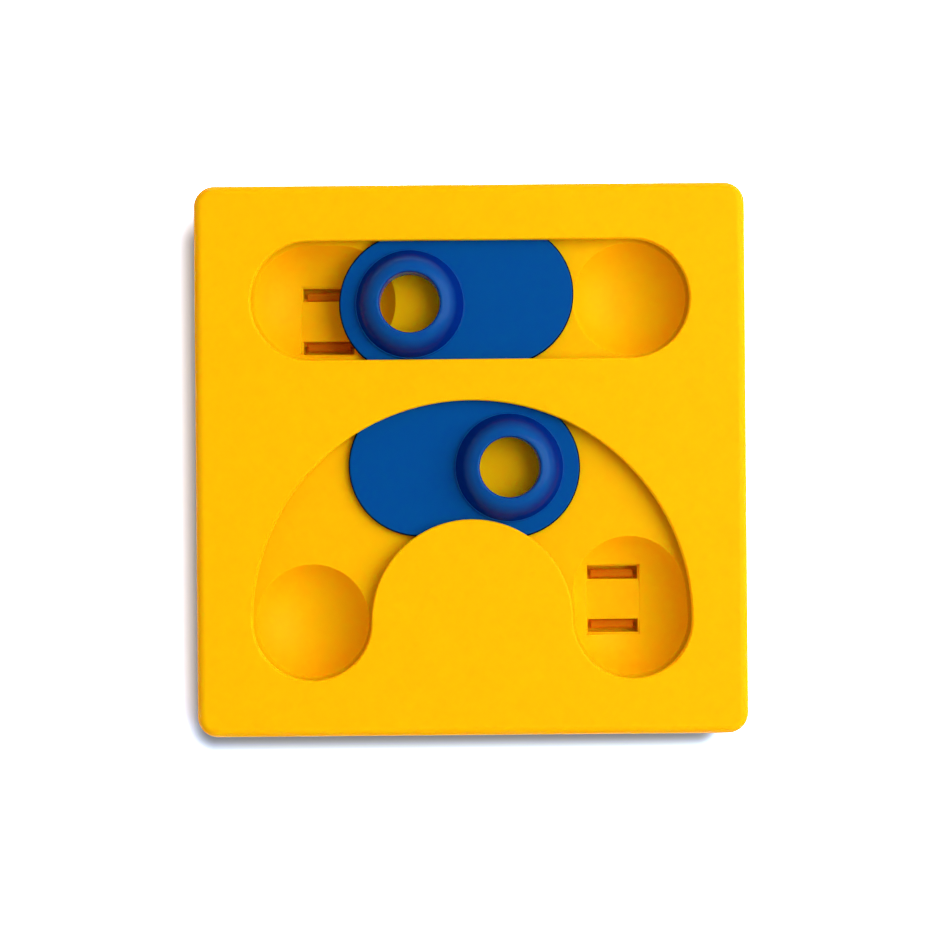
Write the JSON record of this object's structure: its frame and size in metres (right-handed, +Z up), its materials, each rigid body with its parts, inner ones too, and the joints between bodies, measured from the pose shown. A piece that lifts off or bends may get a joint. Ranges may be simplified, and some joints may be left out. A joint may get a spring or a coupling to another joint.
{
  "type": "dog puzzle feeder toy",
  "caption": "Square board with a straight and a half-circle channel, treat pockets at the channel ends, and sliders with ring knobs that cover them.",
  "frame": {"origin": "middle of the board, on the surface that the feet rest on", "axes": "+Z up, +Y towards the straight channel's edge, +X to the right with the straight channel at the far side"},
  "size_m": [0.2412, 0.2412, 0.0369],
  "materials": {
    "yellow_plastic": "satin moulded",
    "blue_plastic": "semi-gloss moulded",
    "foot_rubber": "matt",
    "screw_steel": "zinc plated"
  },
  "bodies": {
    "casing": {"top_deck": "yellow_plastic", "pocket_tray": "yellow_plastic", "base_cover": "yellow_plastic", "tray_screws": "screw_steel", "foot_front_left": "foot_rubber", "foot_front_right": "foot_rubber", "foot_rear_left": "foot_rubber", "foot_rear_right": "foot_rubber"},
    "straight_slider": {"straight_slider_plate": "blue_plastic", "straight_slider_knob": "blue_plastic", "straight_knob_screws": "screw_steel"},
    "arc_slider": {"arc_slider_plate": "blue_plastic", "arc_slider_knob": "blue_plastic", "arc_knob_screws": "screw_steel"}
  },
  "joints": [
    {"name": "straight_slide", "type": "slide", "parent": "casing", "child": "straight_slider", "axis": [1, 0, 0], "range_m": [-0.0438, 0.0555]},
    {"name": "arc_swing", "type": "hinge", "parent": "casing", "child": "arc_slider", "pos_m": [0, -0.07, 0.025], "axis": [0, 0, 1], "range_deg": [-76.5, 73.3]}
  ]
}
